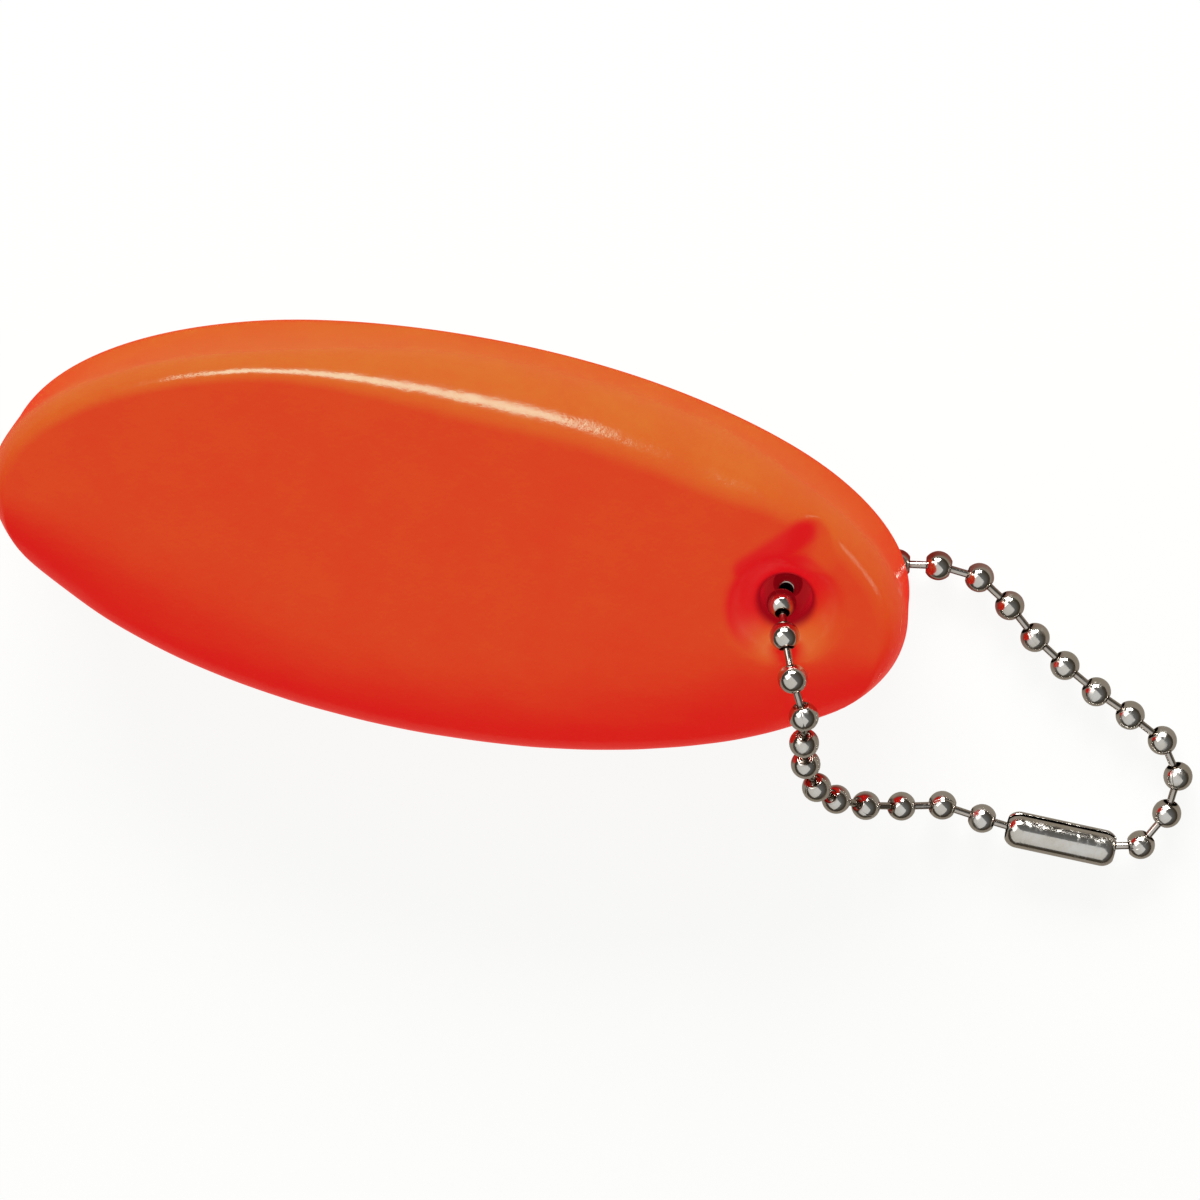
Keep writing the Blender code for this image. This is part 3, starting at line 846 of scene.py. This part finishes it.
def bent(points, bend):
    """Turns a bead's hole side by the bend and leaves its pin's side: the share of the turn eases
    from 0 to 1 with the angle from +Z, and points beyond the bead stay."""
    axis, angle = np.array(bend.axis), bend.angle
    size = np.linalg.norm(points, axis=1)
    polar = np.arccos(np.clip(points[:, 2] / np.maximum(size, 1e-9), -1, 1)) / math.pi
    turn = np.where(size < BEYOND_BEAD, soft_step(polar), 0) * angle
    cosine, sine = np.cos(turn)[:, None], np.sin(turn)[:, None]
    across = np.cross(axis, points)
    return points * cosine + across * sine + axis * (points @ axis)[:, None] * (1 - cosine)


def recess_shade_mask(profile, poles, sides):
    """How much painted shade: most in the ring round the pin, less on the pin and beside the ring, and none
    on the rest of the bead's outside."""
    rings = profile[1:-1] if poles else profile
    size = np.hypot(rings[:, 0], rings[:, 1])
    ring = (size < BEAD_SKIN - 1e-6) & (rings[:, 0] < RING_REACH)
    pin = (size > BEYOND_BEAD) & (rings[:, 0] < RING_REACH)
    near_ring = NEAR_SHADE * np.clip((SHADE_REACH - rings[:, 0]) / (SHADE_REACH - RING_REACH), 0, 1)
    values = np.where(ring, RING_SHADE, np.where(pin, PIN_SHADE, near_ring))
    values = np.repeat(values[:, None], sides, axis=1).ravel()
    return np.append(values, [1, 1]) if poles else values


def chain_pieces(finish):
    centres, pitch = bead_centres()
    axes = [(there - here).normalized() for here, there in zip(centres, centres[1:])]
    profile = link_profile(pitch)
    points, faces = turned(profile, True)
    sides = len(faces[1])
    # painted shade round the pins
    mask = recess_shade_mask(profile, True, sides)
    made = []
    for number, (centre, axis) in enumerate(zip(centres, axes), 1):
        came = axes[max(number - 2, 0)]
        place = Vector((0, 0, 1)).rotation_difference(axis)
        bend = Vector((0, 0, 1)).rotation_difference(place.inverted() @ came)
        spin = np.array(Matrix.Rotation(LINK_SPIN * number, 3, "Z"))
        shape = bent(points @ spin.T, bend) @ np.array(place.to_matrix()).T + np.array(centre)
        name = f"chain_link_{number:02d}"
        made.append(add_piece(
            f"ball_{number:02d}", shape, faces, finish, "keychain", [name], {"recess_shade": mask},
        ))
    profile = end_bead_profile()
    points, faces = turned(profile, False)
    place = Vector((0, 0, 1)).rotation_difference(axes[-1])
    shape = points @ np.array(place.to_matrix()).T + np.array(centres[-1])
    made.append(add_piece(
        "ball_end", shape, faces, finish, "keychain", ["chain_end_bead"],
        {"recess_shade": recess_shade_mask(profile, False, sides)},
    ))
    return made


# Grid of the sleeve: places from one side of the slot to the other as a share of the way round, and
# the wall's share near the slot and the end holes
SLOT_EDGE = (0, 0.006, 0.014, 0.026)
SLOT_CLEAR = 0.045
SLEEVE_SIDES = 57
SLEEVE_RINGS = 16
SLEEVE_END_RINGS = 15
END_HOLE_EDGE = (0.95, 0.8, 0.3)
LEAST_WALL = 0.12


def sleeve_profile(wall):
    """Half a sleeve's outline from its middle to its end hole, moved in by the wall: straight, then a
    rounded end that the end hole cuts open."""
    rounding = CONNECTOR_END_ROUNDING - wall
    middle = CONNECTOR_RADIUS - CONNECTOR_END_ROUNDING
    level = CONNECTOR_LENGTH / 2 - CONNECTOR_END_ROUNDING
    opened = math.acos((CONNECTOR_END_HOLE - middle) / rounding)
    bend = np.linspace(0, opened, SLEEVE_END_RINGS)
    along = np.linspace(0, level, SLEEVE_RINGS + 1)[:-1]
    straight = np.stack([np.full(SLEEVE_RINGS, CONNECTOR_RADIUS - wall), along], axis=1)
    rounded = np.stack([middle + rounding * np.cos(bend), level + rounding * np.sin(bend)], axis=1)
    return np.vstack([straight, rounded])


def connector_piece(finish):
    """A sleeve rolled from sheet: its outline turned all the way but for the slot, whose sides stay
    parallel. The wall thins to a rounded edge along the slot and round both end holes."""
    outer, inner = sleeve_profile(0), sleeve_profile(CONNECTOR_WALL)
    by_slot = np.array(SLOT_EDGE)
    around = np.linspace(SLOT_CLEAR, 1 - SLOT_CLEAR, SLEEVE_SIDES)
    across = np.concatenate([by_slot, around, 1 - by_slot[::-1]])
    thin = np.clip(np.minimum(across, 1 - across) / SLOT_EDGE[-1], 0, 1)
    round_edge = np.sqrt(1 - (1 - thin) ** 2)
    near_hole = np.concatenate([np.ones(len(outer) - len(END_HOLE_EDGE)), END_HOLE_EDGE])
    sheets = []
    for profile, side in ((outer, 1), (inner, -1)):
        middle = (outer + inner) / 2
        both = []
        for sign in (-1, 1):
            full = profile * (1, sign)
            half = middle * (1, sign)
            both.append((full, half) if sign > 0 else (full[:0:-1], half[:0:-1]))
        full = np.vstack([part[0] for part in both])
        half = np.vstack([part[1] for part in both])
        share = np.concatenate([near_hole[:0:-1], near_hole])[:, None] * round_edge[None, :]
        share = LEAST_WALL + (1 - LEAST_WALL) * share
        radius = half[:, 0, None] + (full - half)[:, 0, None] * share
        along = half[:, 1, None] + (full - half)[:, 1, None] * share
        gap = np.arcsin(np.clip(CONNECTOR_SLOT / 2 / half[:, 0], 0, 1))[:, None]
        turn = gap + across[None, :] * (math.tau - 2 * gap)
        sheets.append(np.stack([radius * np.cos(turn), radius * np.sin(turn), along], axis=2))
    rows, columns = sheets[0].shape[:2]
    count = rows * columns
    points = np.vstack([sheet.reshape(-1, 3) for sheet in sheets])
    outside, inside = quads(rows, columns), quads(rows, columns, count)[:, ::-1]
    border = np.concatenate([
        np.arange(columns),
        np.arange(1, rows) * columns + columns - 1,
        (rows - 1) * columns + np.arange(columns - 2, -1, -1),
        np.arange(rows - 2, 0, -1) * columns,
    ])
    after = np.roll(border, -1)
    rim = np.stack([border, border + count, after + count, after], axis=1)[:, ::-1]
    slot_up = np.array(Matrix.Rotation(math.pi + CONNECTOR_SLOT_TURN, 3, "Z"))
    place = Matrix.Rotation(CONNECTOR_TURN, 3, "Z") @ Matrix.Rotation(math.pi / 2, 3, "Y")
    points = points @ slot_up.T @ np.array(place).T + np.array(CONNECTOR_CENTRE)
    # painted shade over the whole inside of the sleeve
    recess_shade = np.concatenate([np.zeros(count), np.full(count, SLEEVE_SHADE)])
    return add_piece(
        "connector_sleeve", points, [outside, inside, rim], finish, "connector", ["connector"],
        {"recess_shade": recess_shade},
    )


# Floor: its colour and own light to the camera, and what the glossy parts see of it, where the near
# colour gives way between two multiples of the float's outline
FLOOR_HALF = 1.5
FLOOR_COLOUR = (0.80, 0.80, 0.79, 1.0)
FLOOR_OWN_COLOUR = (1.0, 1.0, 0.99, 1.0)
FLOOR_OWN_STRENGTH = 1.05
FLOOR_OWN_LIGHT = 0.88
FLOOR_MIRRORED = (0.36, 0.32, 0.27)
# Painted shadow and red bounce of the float, seen only in the glossy parts
FLOOR_MIRRORED_NEAR = (0.28, 0.03, 0.02)
FLOOR_NEAR = (1.05, 1.35)


def add_floor():
    """A plain pale floor that keeps part of its light to itself, so that shadows on it stay faint. In
    the glossy parts it shows pale, but red close round the float: a painted shadow and red bounce of the
    float."""
    mesh = bpy.data.meshes.new("floor")
    corners = [(x * FLOOR_HALF, y * FLOOR_HALF, 0) for x, y in ((-1, -1), (1, -1), (1, 1), (-1, 1))]
    mesh.from_pydata(corners, [], [(0, 1, 2, 3)])
    floor = bpy.data.objects.new("floor", mesh)
    bpy.context.scene.collection.objects.link(floor)
    made, tree, surface = new_material("pale floor", Roughness=0.9)
    surface.inputs["Base Color"].default_value = FLOOR_COLOUR
    own = add_node(tree, "ShaderNodeEmission", Color=FLOOR_OWN_COLOUR, Strength=FLOOR_OWN_STRENGTH)
    where = add_node(tree, "ShaderNodeTexCoord").outputs["Object"]
    oval = add_node(tree, "ShaderNodeMapping", Vector=where, Scale=(2 / LENGTH, 2 / WIDTH, 1.0))
    away = add_node(tree, "ShaderNodeVectorMath", {"operation": "LENGTH"}, _0=oval.outputs["Vector"])
    far = spread(tree, away.outputs["Value"], *FLOOR_NEAR)
    # painted shadow and red bounce close round the float, for glossy rays only
    tint = mixed(tree, far, FLOOR_MIRRORED_NEAR, FLOOR_MIRRORED)
    mirrored = add_node(tree, "ShaderNodeEmission", Color=tint)
    path = add_node(tree, "ShaderNodeLightPath").outputs
    part = add_node(
        tree, "ShaderNodeMath", {"operation": "MULTIPLY"}, _0=path["Is Camera Ray"], _1=FLOOR_OWN_LIGHT,
    ).outputs[0]
    both = add_node(tree, "ShaderNodeMixShader", _0=part, _1=surface.outputs[0], _2=own.outputs[0])
    last = add_node(
        tree, "ShaderNodeMixShader", _0=path["Is Glossy Ray"], _1=both.outputs[0], _2=mirrored.outputs[0],
    )
    tree.links.new(last.outputs[0], tree.nodes["Material Output"].inputs["Surface"])
    mesh.materials.append(made)


# Lamps: azimuth and elevation in degrees, distance, width, height and radiance
WINDOW = (-13, 20, 0.7, 0.50, 0.20, 32.0)
NARROW_WINDOW = (58, 19, 0.7, 0.30, 0.14, 6.0)
BRIGHT_PANEL = (-56, 42, 0.8, 0.56, 0.46, 2.2)
PALE_PANEL = (-140, 70, 0.8, 1.60, 1.50, 0.62)

# Sky: from just below the horizon to overhead, as places on that way and their colours
SKY_LOWEST = -0.1
SKY_ENDS = ((0.08, (0.05, 0.04, 0.03, 1)), (1.0, (0.22, 0.23, 0.24, 1)))
SKY_BETWEEN = ((0.35, (0.07, 0.06, 0.045, 1)), (0.7, (0.14, 0.14, 0.14, 1)))


def add_panel(name, azimuth, elevation, distance, width, height, radiance):
    """A soft panel lamp that faces the float from an azimuth, measured from +Y towards +X, and an
    elevation. Its power is its radiance times pi times its area."""
    data = bpy.data.lights.new(name, "AREA")
    data.shape = "RECTANGLE"
    data.size, data.size_y = width, height
    data.energy = radiance * math.pi * width * height
    lamp = bpy.data.objects.new(name, data)
    bpy.context.scene.collection.objects.link(lamp)
    turn, rise = math.radians(azimuth), math.radians(elevation)
    away = Vector((math.sin(turn) * math.cos(rise), math.cos(turn) * math.cos(rise), math.sin(rise)))
    lamp.location = away * distance
    lamp.rotation_mode = "QUATERNION"
    lamp.rotation_quaternion = away.to_track_quat("Z", "Y")
    return lamp


def light_only(lamps, name, pieces):
    """The lamps light these pieces and nothing else."""
    lit = bpy.data.collections.new(name)
    for piece in pieces:
        lit.objects.link(piece)
    for lamp in lamps:
        lamp.light_linking.receiver_collection = lit


def add_light(glossy, polished):
    """One low broad window at the picture's top, a narrow one to its right for the float's edge, two
    pale panels for the polished parts, and a dim sky, palest overhead and brown near the horizon."""
    add_panel("window", *WINDOW)
    light_only([add_panel("narrow window", *NARROW_WINDOW)], "glossy part", [glossy])
    panels = [add_panel("bright panel", *BRIGHT_PANEL), add_panel("pale panel", *PALE_PANEL)]
    light_only(panels, "polished parts", polished)
    world = bpy.data.worlds.new("studio")
    bpy.context.scene.world = world
    world.use_nodes = True
    tree = world.node_tree
    way = add_node(tree, "ShaderNodeTexCoord").outputs["Generated"]
    height = add_node(tree, "ShaderNodeSeparateXYZ", _0=way).outputs["Z"]
    ramp = add_node(tree, "ShaderNodeValToRGB", Fac=spread(tree, height, SKY_LOWEST, 1.0))
    stops = ramp.color_ramp.elements
    for stop, (position, colour) in zip(stops, SKY_ENDS):
        stop.position, stop.color = position, colour
    for position, colour in SKY_BETWEEN:
        stops.new(position).color = colour
    tree.links.new(ramp.outputs["Color"], tree.nodes["Background"].inputs["Color"])


add_camera()
vinyl = vinyl_material()
nickel = nickel_material()
glossy = float_piece(vinyl)
polished = [*chain_pieces(nickel), connector_piece(nickel)]
add_floor()
add_light(glossy, polished)
bpy.context.scene.view_settings.view_transform = "Standard"
